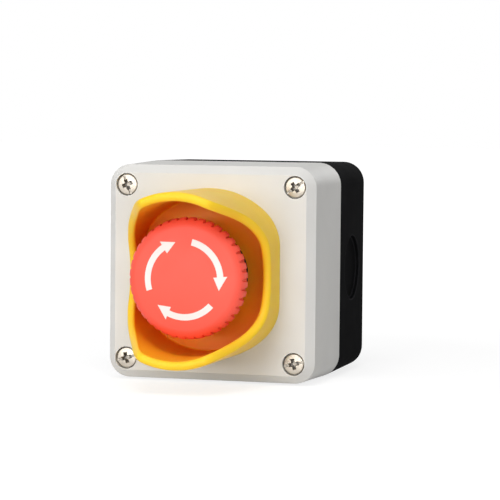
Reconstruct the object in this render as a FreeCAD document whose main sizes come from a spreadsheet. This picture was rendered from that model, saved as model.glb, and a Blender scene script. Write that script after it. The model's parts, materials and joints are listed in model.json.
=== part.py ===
import FreeCAD, Part
import os
import re
import math
import Sketcher
from FreeCAD import Placement, Rotation, Vector

# Emergency stop button box: a two-part wall box with a guarded mushroom push button.
# The box hangs on a wall at y = 0 and faces -Y, with +Z up. Each piece is drawn with its own
# z axis pointing out of the wall, and its placement turns that axis to -Y. Millimetres.

# Driving sizes
SIZES = {
    # box
    "box_width": 74.0,
    "box_height": 74.0,
    "corner_radius": 7.8,
    "base_depth": 35.5,
    "cover_depth": 32.5,
    "wall": 2.5,
    "base_floor": 3.0,
    "cover_face": 3.0,
    "base_draft": 0.4,
    "cover_draft": 0.8,
    "front_bevel": 2.7,
    "gasket_width": 1.2,
    "gasket_depth": 1.5,
    "wall_hole_pitch": 40.0,
    "wall_hole_radius": 2.25,
    "knockout_radius": 11.2,
    "knockout_depth": 1.8,
    # cover screws
    "screw_inset": 7.5,
    "boss_radius": 5.2,
    "screw_radius": 1.95,
    "screw_clearance": 0.25,
    "screw_recess_radius": 3.85,
    "screw_recess_depth": 2.6,
    "screw_head_radius": 3.55,
    "screw_head_height": 2.4,
    "screw_end_gap": 1.0,
    "insert_half_flat": 2.7,
    "insert_length": 8.0,
    "thread_clearance": 0.05,
    # guard
    "guard_radius": 28.8,
    "guard_half_flat": 24.6,
    "guard_knee_radius": 16.0,
    "guard_wall": 3.0,
    "guard_floor": 3.0,
    "guard_height": 39.0,
    "scoop_low": 11.2,
    "scoop_slope": 38.0,
    "scoop_bottom_radius": 25.6,
    "scoop_corner_radius": 42.9,
    "scoop_overrun": 0.3,
    "scoop_inner_share": 0.385,
    "scoop_outer_share": 1.1,
    "guard_seal_radius": 14.0,
    "guard_seal_depth": 1.0,
    # operator
    "mount_hole_radius": 11.15,
    "neck_radius": 10.9,
    "neck_length": 18.0,
    "bezel_seal_thickness": 0.8,
    "bezel_radius": 14.5,
    "bezel_height": 3.5,
    "collar_radius": 10.5,
    "collar_height": 2.2,
    "washer_radius": 15.0,
    "washer_thickness": 1.2,
    "nut_half_flat": 14.0,
    "nut_thickness": 6.0,
    "stem_radius": 6.0,
    "running_clearance": 0.05,
    "stem_seal_radius": 8.5,
    "stem_seal_depth": 1.5,
    "latch_pocket_radius": 7.5,
    "latch_pocket_depth": 5.0,
    "latch_setback": 1.0,
    "latch_wire": 1.2,
    "latch_leg": 1.5,
    "waist_depth": 0.5,
    "chamber_radius": 8.6,
    "chamber_front": 3.0,
    "shoulder_radius": 8.0,
    "shoulder_thickness": 3.0,
    "stop_gap": 0.1,
    "tail_radius": 4.0,
    "tail_overhang": 0.5,
    "travel": 5.0,
    "push_plate_radius": 8.2,
    "push_plate_thickness": 2.0,
    "push_clearance": 1.0,
    "retainer_gap": 1.0,
    "retainer_thickness": 1.5,
    "retainer_bore": 4.6,
    "return_wire": 0.8,
    "return_turns": 2.0,
    # mushroom cap
    "cap_radius": 20.0,
    "cap_front": 28.3,
    "dome_radius": 105.0,
    "crown_edge_round": 4.0,
    "rim_height": 1.3,
    "rim_lip": 1.0,
    "grip_teeth": 40,
    "notch_width": 1.1,
    "notch_depth": 0.9,
    "skirt_rear": 15.0,
    "skirt_radius": 17.6,
    "skirt_wall": 1.6,
    "cap_wall": 4.3,
    "hub_radius": 9.0,
    "hub_gap": 1.0,
    "stem_front_gap": 0.5,
    "clip_thickness": 1.0,
    "clip_setback": 5.0,
    "clip_outer": 7.2,
    "clip_groove": 0.7,
    "clip_gap": 3.0,
    "clip_play": 0.1,
    "twist_wire": 0.9,
    "twist_turns": 1.75,
    "twist_pitch": 1.6,
    # contact carrier and its lock lever
    "carrier_half_width": 15.0,
    "carrier_half_height": 20.0,
    "carrier_corner": 3.0,
    "carrier_plate": 4.0,
    "carrier_collar_radius": 13.0,
    "carrier_grip": 3.5,
    "lever_pivot_side": 11.0,
    "lever_pivot_height": 16.5,
    "lever_reach": 24.0,
    "lever_half_width": 2.0,
    "lever_thickness": 3.0,
    "lever_hub_radius": 3.0,
    "lever_lift": 0.1,
    "pin_radius": 1.5,
    "pin_head_radius": 2.6,
    "pin_head_height": 1.0,
    # contact blocks
    "block_gap": 1.0,
    "block_half_height": 15.0,
    "block_depth": 24.0,
    "housing_width": 8.8,
    "block_wall": 1.4,
    "block_back_wall": 3.0,
    "block_lid": 1.2,
    "cavity_half_height": 8.3,
    "web": 1.2,
    "plunger_half_side": 1.8,
    "plunger_neck_half_side": 1.1,
    "plunger_neck_length": 4.5,
    "blade_depth": 6.3,
    "blade_thickness": 1.2,
    "blade_half_width": 2.5,
    "blade_tip": 4.5,
    "blade_end": 14.5,
    "contact_gap": 0.1,
    "bridge_thickness": 1.2,
    "bridge_half_width": 2.0,
    "bridge_half_length": 7.3,
    "terminal_screw_radius": 1.5,
    "terminal_screw_length": 4.5,
    "terminal_head_radius": 2.5,
    "terminal_head_height": 2.0,
    "contact_wire": 0.6,
    "contact_spring_radius": 2.1,
    "contact_turns": 2.5,
}

doc = FreeCAD.newDocument("EmergencyStopBox")
sheet = doc.addObject("Spreadsheet::Sheet", "Sizes")
for row, (size_name, size) in enumerate(SIZES.items(), start=1):
    sheet.set(f"A{row}", size_name)
    sheet.set(f"B{row}", str(size))
    sheet.setAlias(f"B{row}", size_name)
doc.recompute()

pieces = []

# How far an edge may stray from where a test looks for it
EDGE_SLACK = 0.01

# Sizes that follow from the driving ones, as expressions
FRONT = "(base_depth + cover_depth)"
SCREW_X = "(box_width/2 - screw_inset)"
SCREW_Y = "(box_height/2 - screw_inset)"
BEZEL_SEAT = "(guard_floor + bezel_seal_thickness)"
BEZEL_FRONT = f"({BEZEL_SEAT} + bezel_height)"
COLLAR_FRONT = f"({BEZEL_FRONT} + collar_height)"
STEM_BORE = "(stem_radius + running_clearance)"
LATCH_FRONT = "(latch_pocket_depth - chamber_front)"
PUSH_PLATE_REAR = "(-neck_length - tail_overhang)"
RETAINER_REAR = f"({PUSH_PLATE_REAR} + push_plate_thickness + retainer_gap)"
RETAINER_FRONT = f"({RETAINER_REAR} + retainer_thickness)"
SHOULDER_FRONT = "(-chamber_front - stop_gap)"
SHOULDER_REAR = f"({SHOULDER_FRONT} - shoulder_thickness)"
CAP_INSIDE = "(cap_front - cap_wall)"
HUB_REAR = f"({COLLAR_FRONT} + travel + hub_gap)"
STEM_FRONT = f"({CAP_INSIDE} - stem_front_gap)"
CLIP_REAR = f"({STEM_FRONT} - clip_setback)"
TWIST_LENGTH = "(twist_turns*twist_pitch + twist_wire)"
BLOCK_FRONT = f"({PUSH_PLATE_REAR} - travel - push_clearance)"
PLATE_FRONT = f"({BLOCK_FRONT} + carrier_plate)"
BLOCK_SIDE = "(block_gap + housing_width)"
PLUNGER_X = "(block_gap + block_wall + (housing_width - block_wall)/2)"
BRIDGE_FRONT = "(-blade_depth - blade_thickness - contact_gap)"
TERMINAL_Y = "((cavity_half_height + web + block_half_height)/2)"


def bound(text):
    """The text as an expression, with each size's name pointing at its cell."""
    def cell(word):
        return "Sizes." + word[0] if word[0] in SIZES else word[0]
    return re.sub(r"[a-z_]+", cell, str(text))


def amount(text):
    """What an expression comes to with the sizes as they stand."""
    return float(sheet.evalExpression(bound(text)))


def new_body(label, seat, turn=0):
    """A piece whose own z axis points out of the wall, from a seat that far in front of the wall."""
    body = doc.addObject("PartDesign::Body", label)
    body.Label = label
    body.Placement = Placement(Vector(), Rotation(Vector(1, 0, 0), 90) * Rotation(Vector(0, 0, 1), turn))
    body.setExpression(".Placement.Base.y", bound(f"-({seat})"))
    pieces.append(body)
    return body


def sketch_on(body, role, lift="0"):
    """An empty sketch on one of the piece's own planes, moved along its normal."""
    sketch = body.newObject("Sketcher::SketchObject", "sketch")
    plane = next(item for item in body.Origin.OriginFeatures if item.Role == role)
    sketch.AttachmentSupport = [(plane, "")]
    sketch.MapMode = "FlatFace"
    sketch.setExpression(".AttachmentOffset.Base.z", bound(lift))
    return sketch


def tie(sketch, constraint, text):
    """Adds a constraint whose value follows an expression."""
    index = sketch.addConstraint(constraint)
    sketch.setExpression(f"Constraints[{index}]", bound(text))


def tie_point(sketch, geometry, point, x, y):
    """Places one point of a sketch by two expressions."""
    tie(sketch, Sketcher.Constraint("DistanceX", -1, 1, geometry, point, amount(x)), x)
    tie(sketch, Sketcher.Constraint("DistanceY", -1, 1, geometry, point, amount(y)), y)


def circle(sketch, radius, x="0", y="0"):
    """A circle by radius and centre."""
    shape = Part.Circle(Vector(amount(x), amount(y), 0), Vector(0, 0, 1), amount(radius))
    geometry = sketch.addGeometry(shape)
    tie(sketch, Sketcher.Constraint("Radius", geometry, amount(radius)), radius)
    tie_point(sketch, geometry, 3, x, y)


def arc_between(start, end, radius):
    """The short arc from start to end that turns left for a positive radius, right for a negative one."""
    chord = end - start
    rise = math.sqrt(max(radius ** 2 - chord.Length ** 2 / 4, 0))
    across = Vector(-chord.y, chord.x, 0).normalize()
    centre = (start + end) / 2 + across * math.copysign(rise, radius)
    first, last = (start, end) if radius > 0 else (end, start)
    angles = [math.atan2(p.y - centre.y, p.x - centre.x) for p in (first, last)]
    return Part.ArcOfCircle(Part.Circle(centre, Vector(0, 0, 1), abs(radius)), *angles)


def outline(sketch, points):
    """A closed outline. A point's third entry is the radius of the arc that leads to the next point."""
    places = [Vector(amount(point[0]), amount(point[1]), 0) for point in points]
    starts = []
    ends = []
    for number, point in enumerate(points):
        here = places[number]
        there = places[(number + 1) % len(points)]
        radius = amount(point[2]) if len(point) == 3 else 0
        edge = arc_between(here, there, radius) if radius else Part.LineSegment(here, there)
        geometry = sketch.addGeometry(edge)
        starts.append((geometry, 2 if radius < 0 else 1))
        ends.append((geometry, 1 if radius < 0 else 2))
    for number, point in enumerate(points):
        sketch.addConstraint(Sketcher.Constraint("Coincident", *ends[number - 1], *starts[number]))
        tie_point(sketch, *starts[number], point[0], point[1])
        if len(point) == 3:
            radius = point[2].lstrip("-")
            tie(sketch, Sketcher.Constraint("Radius", starts[number][0], amount(radius)), radius)


def rectangle(sketch, left, right, low, high):
    """A rectangle by its four sides."""
    outline(sketch, [(left, low), (right, low), (right, high), (left, high)])


def rounded_box(sketch, half_width, half_height, radius):
    """A rectangle about the sketch's origin with round corners."""
    inner_x = f"({half_width}) - ({radius})"
    inner_y = f"({half_height}) - ({radius})"
    outline(sketch, [
        (f"-({inner_x})", f"-({half_height})"),
        (inner_x, f"-({half_height})", radius),
        (half_width, f"-({inner_y})"),
        (half_width, inner_y, radius),
        (inner_x, half_height),
        (f"-({inner_x})", half_height, radius),
        (f"-({half_width})", inner_y),
        (f"-({half_width})", f"-({inner_y})", radius),
    ])


def square(sketch, half_side, x="0", y="0"):
    """A square about a point."""
    rectangle(sketch, f"{x} - {half_side}", f"{x} + {half_side}", f"{y} - {half_side}", f"{y} + {half_side}")


def hexagon(sketch, half_flat, x="0", y="0"):
    """A hexagon about a point, by half its width across the flats."""
    reach = f"{half_flat}/cos(30 deg)"
    corners = [(f"{x} + {reach}*cos({60 * k} deg)", f"{y} + {reach}*sin({60 * k} deg)") for k in range(6)]
    outline(sketch, corners)


def at_corners(sketch, draw, size, x, y):
    """The same small outline at the four corners of a rectangle."""
    for side in (-1, 1):
        for level in (-1, 1):
            draw(sketch, size, f"{side}*{x}", f"{level}*{y}")


def pad(body, sketch, length, backwards=False, taper="0"):
    """Material along the sketch's normal, or against it."""
    feature = body.newObject("PartDesign::Pad", "pad")
    feature.Profile = sketch
    feature.setExpression("Length", bound(length))
    feature.setExpression("TaperAngle", bound(taper))
    feature.Reversed = backwards
    doc.recompute()
    return feature


def pocket(body, sketch, depth, along=False):
    """A cut against the sketch's normal, or along it. It has to take material away."""
    before = body.Shape.Volume
    feature = body.newObject("PartDesign::Pocket", "pocket")
    feature.Profile = sketch
    feature.setExpression("Length", bound(depth))
    feature.Reversed = along
    doc.recompute()
    if body.Shape.Volume >= before:
        raise RuntimeError(f"a cut in {body.Label} takes nothing away")
    return feature


def loft_cut(body, first, last):
    """A cut that runs straight from one outline to another."""
    feature = body.newObject("PartDesign::SubtractiveLoft", "loft")
    feature.Profile = first
    feature.Sections = [last]
    feature.Ruled = True
    doc.recompute()
    return feature


def revolve(body, points):
    """A turned piece, from an outline of radius and height."""
    sketch = sketch_on(body, "XZ_Plane")
    outline(sketch, points)
    feature = body.newObject("PartDesign::Revolution", "turning")
    feature.Profile = sketch
    feature.ReferenceAxis = (sketch, ["V_Axis"])
    feature.Angle = 360
    doc.recompute()
    return feature


def dress(body, kind, feature, chosen, size):
    """A fillet or chamfer on the edges of a feature that a test picks out."""
    names = [f"Edge{number}" for number, edge in enumerate(feature.Shape.Edges, start=1) if chosen(edge)]
    dressing = body.newObject(f"PartDesign::{kind}", kind.lower())
    dressing.Base = (feature, names)
    dressing.setExpression("Size" if kind == "Chamfer" else "Radius", bound(size))
    doc.recompute()
    return dressing


def ring(label, seat, outer, inner, thickness):
    """A flat ring round the button's axis."""
    body = new_body(label, seat)
    sketch = sketch_on(body, "XY_Plane")
    circle(sketch, outer)
    circle(sketch, inner)
    pad(body, sketch, thickness)
    return body


def coil(label, seat, radius, wire, turns, height, turn=0, x="0"):
    """A compression or torsion spring of square wire, wound about an axis parallel to the button's."""
    body = new_body(label, seat, turn)
    sketch = sketch_on(body, "XZ_Plane")
    rectangle(sketch, f"{radius} - {wire}/2", f"{radius} + {wire}/2", "0", wire)
    feature = body.newObject("PartDesign::AdditiveHelix", "winding")
    feature.Profile = sketch
    feature.ReferenceAxis = (sketch, ["V_Axis"])
    feature.Mode = 0
    feature.setExpression("Height", bound(f"{height} - {wire}"))
    feature.setExpression("Pitch", bound(f"({height} - {wire})/{turns}"))
    side = -1 if turn else 1
    body.setExpression(".Placement.Base.x", bound(f"{side}*({x})"))
    doc.recompute()
    return body


def at_height(height):
    """A test for edges that lie flat at one height of the piece."""
    level = amount(height)

    def chosen(edge):
        box = edge.BoundBox
        return abs(box.ZMin - level) < EDGE_SLACK and abs(box.ZMax - level) < EDGE_SLACK
    return chosen


def upright(length):
    """A test for straight edges of one length that stand along the piece's z axis."""
    tall = amount(length)

    def chosen(edge):
        box = edge.BoundBox
        return abs(box.ZLength - tall) < EDGE_SLACK and max(box.XLength, box.YLength) < EDGE_SLACK
    return chosen


# Box

def rear_base():
    """Tub that is screwed to the wall: drafted walls, four screw posts and a knockout in each side."""
    body = new_body("rear_base", "0")
    tub = sketch_on(body, "XY_Plane")
    rounded_box(tub, "box_width/2 - base_draft", "box_height/2 - base_draft", "corner_radius - base_draft")
    pad(body, tub, "base_depth", taper="atan(base_draft/base_depth)")
    cavity = sketch_on(body, "XY_Plane", "base_floor")
    rounded_box(cavity, "box_width/2 - wall", "box_height/2 - wall", "corner_radius - wall")
    pocket(body, cavity, "base_depth - base_floor", along=True)
    posts = sketch_on(body, "XY_Plane", "base_floor")
    at_corners(posts, circle, "boss_radius", SCREW_X, SCREW_Y)
    pad(body, posts, "base_depth - base_floor")
    ledge = sketch_on(body, "XY_Plane", "base_depth")
    rounded_box(ledge, "box_width/2 - wall + gasket_width", "box_height/2 - wall + gasket_width",
                "corner_radius - wall + gasket_width")
    rounded_box(ledge, "box_width/2 - wall", "box_height/2 - wall", "corner_radius - wall")
    pocket(body, ledge, "gasket_depth")
    insert_holes = sketch_on(body, "XY_Plane", "base_depth")
    at_corners(insert_holes, hexagon, "insert_half_flat", SCREW_X, SCREW_Y)
    pocket(body, insert_holes, "insert_length")
    wall_holes = sketch_on(body, "XY_Plane", "base_floor")
    at_corners(wall_holes, circle, "wall_hole_radius", "wall_hole_pitch/2", "wall_hole_pitch/2")
    pocket(body, wall_holes, "base_floor")
    for side in (-1, 1):
        knockout = sketch_on(body, "YZ_Plane", f"{side}*box_width/2")
        circle(knockout, "knockout_radius", "0", "base_depth/2")
        pocket(body, knockout, "knockout_depth", along=side < 0)


def front_cover():
    """Hollow cover with a bevelled face, screw columns in its corners and the button's mounting hole."""
    body = new_body("front_cover", "base_depth")
    shell = sketch_on(body, "XY_Plane")
    rounded_box(shell, "box_width/2", "box_height/2", "corner_radius")
    block = pad(body, shell, "cover_depth", taper="-atan(cover_draft/cover_depth)")
    dress(body, "Chamfer", block, at_height("cover_depth"), "front_bevel")
    cavity = sketch_on(body, "XY_Plane")
    rounded_box(cavity, "box_width/2 - wall", "box_height/2 - wall", "corner_radius - wall")
    pocket(body, cavity, "cover_depth - cover_face", along=True)
    columns = sketch_on(body, "XY_Plane")
    at_corners(columns, circle, "boss_radius", SCREW_X, SCREW_Y)
    pad(body, columns, "cover_depth - cover_face")
    screw_holes = sketch_on(body, "XY_Plane")
    at_corners(screw_holes, circle, "screw_radius + screw_clearance", SCREW_X, SCREW_Y)
    pocket(body, screw_holes, "cover_depth", along=True)
    recesses = sketch_on(body, "XY_Plane", "cover_depth")
    at_corners(recesses, circle, "screw_recess_radius", SCREW_X, SCREW_Y)
    pocket(body, recesses, "screw_recess_depth")
    button_hole = sketch_on(body, "XY_Plane", "cover_depth")
    circle(button_hole, "mount_hole_radius")
    pocket(body, button_hole, "cover_face")


def cover_gasket():
    """Rubber frame on the ledge round the base's rim."""
    body = new_body("cover_gasket", "base_depth - gasket_depth")
    frame = sketch_on(body, "XY_Plane")
    rounded_box(frame, "box_width/2 - wall + gasket_width", "box_height/2 - wall + gasket_width",
                "corner_radius - wall + gasket_width")
    rounded_box(frame, "box_width/2 - wall", "box_height/2 - wall", "corner_radius - wall")
    pad(body, frame, "gasket_depth")


def cover_screws():
    """Four pan-head screws, sunk in the cover's recesses and reaching into the inserts."""
    body = new_body("cover_screws", f"{FRONT} - screw_recess_depth")
    heads = sketch_on(body, "XY_Plane")
    at_corners(heads, circle, "screw_head_radius", SCREW_X, SCREW_Y)
    pad(body, heads, "screw_head_height")
    shanks = sketch_on(body, "XY_Plane")
    at_corners(shanks, circle, "screw_radius", SCREW_X, SCREW_Y)
    pad(body, shanks, "cover_depth - screw_recess_depth + insert_length - screw_end_gap", backwards=True)


def threaded_inserts():
    """Four hexagonal brass bushes in the base's posts."""
    body = new_body("threaded_inserts", "base_depth - insert_length")
    bushes = sketch_on(body, "XY_Plane")
    at_corners(bushes, hexagon, "insert_half_flat", SCREW_X, SCREW_Y)
    at_corners(bushes, circle, "screw_radius + thread_clearance", SCREW_X, SCREW_Y)
    pad(body, bushes, "insert_length")


# Guard

def guard_plan(sketch, radius, half_flat):
    """A circle cut by two upright flats."""
    knee = f"sqrt(({radius})^2 - ({half_flat})^2)"
    outline(sketch, [
        (half_flat, f"-{knee}"),
        (half_flat, knee, radius),
        (f"-({half_flat})", knee),
        (f"-({half_flat})", f"-{knee}", radius),
    ])


def scoop_outline(sketch, share):
    """A finger scoop at some share of the way from the axis to the flats, where it has its true size. It
    widens on the way, so that it cuts square to the wall: round bottom, straight flanks, round shoulders."""
    slope = "(scoop_slope*1 deg)"
    top = "(guard_height + scoop_overrun)"
    bottom_rise = f"(scoop_bottom_radius*(1 - cos({slope})))"
    shoulder_drop = f"(scoop_corner_radius*(1 - cos({slope})))"
    flank_low = f"(scoop_low + {bottom_rise})"
    flank_high = f"({top} - {shoulder_drop})"
    bottom_half = f"({share}*scoop_bottom_radius*sin({slope}))"
    flank_run = f"({share}*({flank_high} - {flank_low})/tan({slope}))"
    shoulder_run = f"({share}*scoop_corner_radius*sin({slope}))"
    flank_end = f"({bottom_half} + {flank_run})"
    mouth = f"({flank_end} + {shoulder_run})"
    bottom_radius = f"(({bottom_half}^2 + {bottom_rise}^2)/(2*{bottom_rise}))"
    shoulder_radius = f"(({shoulder_run}^2 + {shoulder_drop}^2)/(2*{shoulder_drop}))"
    above = f"({top} + guard_wall)"
    outline(sketch, [
        (f"-{mouth}", top, f"-{shoulder_radius}"),
        (f"-{flank_end}", flank_high),
        (f"-{bottom_half}", flank_low, bottom_radius),
        (bottom_half, flank_low),
        (flank_end, flank_high, f"-{shoulder_radius}"),
        (mouth, top),
        (mouth, above),
        (f"-{mouth}", above),
    ])


def guard_shroud():
    """Yellow guard: a deep cup with flats left and right and a finger scoop cut down into each flat."""
    body = new_body("guard_shroud", FRONT)
    plan = sketch_on(body, "XY_Plane")
    guard_plan(plan, "guard_radius", "guard_half_flat")
    cup = pad(body, plan, "guard_height")
    dress(body, "Fillet", cup, upright("guard_height"), "guard_knee_radius")
    inside = sketch_on(body, "XY_Plane", "guard_floor")
    guard_plan(inside, "guard_radius - guard_wall", "guard_half_flat - guard_wall")
    hollow = pocket(body, inside, "guard_height - guard_floor", along=True)
    dress(body, "Fillet", hollow, upright("guard_height - guard_floor"), "guard_knee_radius - guard_wall")
    for side in (-1, 1):
        sections = []
        for share in ("scoop_outer_share", "scoop_inner_share"):
            section = sketch_on(body, "YZ_Plane", f"{side}*{share}*guard_half_flat")
            scoop_outline(section, share)
            sections.append(section)
        loft_cut(body, *sections)
    button_hole = sketch_on(body, "XY_Plane", "guard_floor")
    circle(button_hole, "mount_hole_radius")
    pocket(body, button_hole, "guard_floor")
    seal_seat = sketch_on(body, "XY_Plane")
    circle(seal_seat, "guard_seal_radius")
    pocket(body, seal_seat, "guard_seal_depth", along=True)


# Operator

def operator_body():
    """Turned housing of the button: bezel on the guard's floor, threaded neck, bores for stem and spring."""
    body = new_body("operator_body", FRONT)
    revolve(body, [
        ("chamber_radius", "-neck_length"),
        ("neck_radius", "-neck_length"),
        ("neck_radius", BEZEL_SEAT),
        ("bezel_radius", BEZEL_SEAT),
        ("bezel_radius", BEZEL_FRONT),
        ("collar_radius", BEZEL_FRONT),
        ("collar_radius", COLLAR_FRONT),
        ("stem_seal_radius", COLLAR_FRONT),
        ("stem_seal_radius", f"{COLLAR_FRONT} - stem_seal_depth"),
        (STEM_BORE, f"{COLLAR_FRONT} - stem_seal_depth"),
        (STEM_BORE, LATCH_FRONT),
        ("latch_pocket_radius", LATCH_FRONT),
        ("latch_pocket_radius", "-chamber_front"),
        ("chamber_radius", "-chamber_front"),
    ])


def mounting_nut():
    """Hexagon nut that clamps the operator's neck behind the cover's face."""
    body = new_body("mounting_nut", f"{FRONT} - cover_face - washer_thickness - nut_thickness")
    section = sketch_on(body, "XY_Plane")
    hexagon(section, "nut_half_flat")
    circle(section, "neck_radius + thread_clearance")
    pad(body, section, "nut_thickness")


def latch_spring():
    """Hairpin of square wire that straddles the stem's waist and latches at either end of it."""
    body = new_body("latch_spring", f"{FRONT} + latch_setback")
    leg = f"({STEM_BORE} + latch_wire/2)"
    section = sketch_on(body, "XZ_Plane")
    square(section, "latch_wire/2", leg)
    bend = body.newObject("PartDesign::Revolution", "bend")
    bend.Profile = section
    bend.ReferenceAxis = (section, ["V_Axis"])
    bend.Angle = 180
    doc.recompute()
    legs = sketch_on(body, "XZ_Plane")
    for side in (-1, 1):
        square(legs, "latch_wire/2", f"{side}*{leg}")
    pad(body, legs, "latch_leg")


def plunger_stem():
    """Turned stem: tail for the push plate, shoulder for the spring, waist for the latch and clip groove."""
    body = new_body("plunger_stem", FRONT)
    waist = "(stem_radius - waist_depth)"
    half_wire = "(latch_wire/2 + stop_gap)"
    clip_floor = "(stem_radius - clip_groove)"
    clip_front = f"({CLIP_REAR} + clip_thickness)"
    revolve(body, [
        ("0", PUSH_PLATE_REAR),
        ("tail_radius", PUSH_PLATE_REAR),
        ("tail_radius", SHOULDER_REAR),
        ("shoulder_radius", SHOULDER_REAR),
        ("shoulder_radius", SHOULDER_FRONT),
        ("stem_radius", SHOULDER_FRONT),
        ("stem_radius", f"latch_setback - {half_wire}"),
        (waist, f"latch_setback - {half_wire}"),
        (waist, f"latch_setback + travel + {half_wire}"),
        ("stem_radius", f"latch_setback + travel + {half_wire}"),
        ("stem_radius", CLIP_REAR),
        (clip_floor, CLIP_REAR),
        (clip_floor, clip_front),
        ("stem_radius", clip_front),
        ("stem_radius", STEM_FRONT),
        ("0", STEM_FRONT),
    ])


def stem_circlip():
    """Open snap ring in the stem's groove, which keeps the cap on."""
    body = new_body("stem_circlip", f"{FRONT} + {CLIP_REAR}")
    disc = sketch_on(body, "XY_Plane")
    circle(disc, "clip_outer")
    circle(disc, "stem_radius - clip_groove")
    pad(body, disc, "clip_thickness")
    gap = sketch_on(body, "XY_Plane")
    rectangle(gap, "-clip_gap/2", "clip_gap/2", "0", "2*clip_outer")
    pocket(body, gap, "clip_thickness", along=True)


def mushroom_cap():
    """Red mushroom head: a domed crown with a notched rim, a hollow skirt and the hub on the stem."""
    body = new_body("mushroom_cap", FRONT)
    dome_centre = "(cap_front - dome_radius)"
    edge_centre = "(cap_radius - crown_edge_round)"
    inner_reach = "(dome_radius - crown_edge_round)"
    edge_height = f"({dome_centre} + sqrt({inner_reach}^2 - {edge_centre}^2))"
    spread = f"(dome_radius/{inner_reach})"
    dome_edge = f"{dome_centre} + ({edge_height} - {dome_centre})*{spread}"
    clip_bore = "(clip_outer + clip_play)"
    rim_rear = f"({edge_height} - rim_height)"
    revolve(body, [
        (STEM_BORE, HUB_REAR),
        ("hub_radius", HUB_REAR),
        ("hub_radius", CAP_INSIDE),
        ("skirt_radius - skirt_wall", CAP_INSIDE),
        ("skirt_radius - skirt_wall", "skirt_rear"),
        ("skirt_radius", "skirt_rear"),
        ("cap_radius - rim_lip", rim_rear),
        ("cap_radius", rim_rear),
        ("cap_radius", edge_height, "crown_edge_round"),
        (f"{edge_centre}*{spread}", dome_edge, "dome_radius"),
        ("0", "cap_front"),
        ("0", CAP_INSIDE),
        (STEM_BORE, CAP_INSIDE),
        (STEM_BORE, f"{CLIP_REAR} + clip_thickness + clip_play"),
        (clip_bore, f"{CLIP_REAR} + clip_thickness + clip_play"),
        (clip_bore, f"{CLIP_REAR} - clip_play"),
        (STEM_BORE, f"{CLIP_REAR} - clip_play"),
    ])
    notch = sketch_on(body, "XY_Plane", rim_rear)
    outline(notch, [
        ("cap_radius - notch_depth", "-notch_width/4"),
        ("cap_radius + notch_depth", "-notch_width"),
        ("cap_radius + notch_depth", "notch_width"),
        ("cap_radius - notch_depth", "notch_width/4"),
    ])
    first = pocket(body, notch, "rim_height + crown_edge_round", along=True)
    teeth = body.newObject("PartDesign::PolarPattern", "teeth")
    teeth.Originals = [first]
    teeth.Axis = (notch, ["N_Axis"])
    teeth.Angle = 360
    teeth.setExpression("Occurrences", bound("grip_teeth"))
    body.Tip = teeth
    doc.recompute()


# Contact carrier and lock lever

def contact_carrier():
    """Plate and collar that grip the operator's neck and carry the contact blocks."""
    body = new_body("contact_carrier", f"{FRONT} + {BLOCK_FRONT}")
    plate = sketch_on(body, "XY_Plane")
    rounded_box(plate, "carrier_half_width", "carrier_half_height", "carrier_corner")
    circle(plate, "chamber_radius")
    pad(body, plate, "carrier_plate")
    collar = sketch_on(body, "XY_Plane", "carrier_plate")
    circle(collar, "carrier_collar_radius")
    circle(collar, "neck_radius + thread_clearance")
    pad(body, collar, f"-neck_length + carrier_grip - {PLATE_FRONT}")
    pin_hole = sketch_on(body, "XY_Plane", "carrier_plate")
    circle(pin_hole, "pin_radius", "-lever_pivot_side", "lever_pivot_height")
    pocket(body, pin_hole, "carrier_plate")


def lever_pin():
    """Headed pin in the carrier's plate."""
    body = new_body("lever_pin", f"{FRONT} + {BLOCK_FRONT}")
    shank = sketch_on(body, "XY_Plane")
    circle(shank, "pin_radius", "-lever_pivot_side", "lever_pivot_height")
    under_head = "carrier_plate + lever_lift + lever_thickness + lever_lift"
    pad(body, shank, under_head)
    head = sketch_on(body, "XY_Plane", under_head)
    circle(head, "pin_head_radius", "-lever_pivot_side", "lever_pivot_height")
    pad(body, head, "pin_head_height")


def carrier_lever():
    """Lever that turns on the pin, flat against the carrier's plate, to lock it on the neck."""
    body = new_body("carrier_lever", f"{FRONT} + {PLATE_FRONT} + lever_lift")
    arm = sketch_on(body, "XY_Plane")
    rectangle(arm, "-lever_pivot_side", "lever_reach - lever_pivot_side",
              "lever_pivot_height - lever_half_width", "lever_pivot_height + lever_half_width")
    pad(body, arm, "lever_thickness")
    hub = sketch_on(body, "XY_Plane")
    circle(hub, "lever_hub_radius", "-lever_pivot_side", "lever_pivot_height")
    pad(body, hub, "lever_thickness")
    bore = sketch_on(body, "XY_Plane")
    circle(bore, "pin_radius + running_clearance", "-lever_pivot_side", "lever_pivot_height")
    pocket(body, bore, "lever_thickness", along=True)


# Contact blocks

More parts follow.
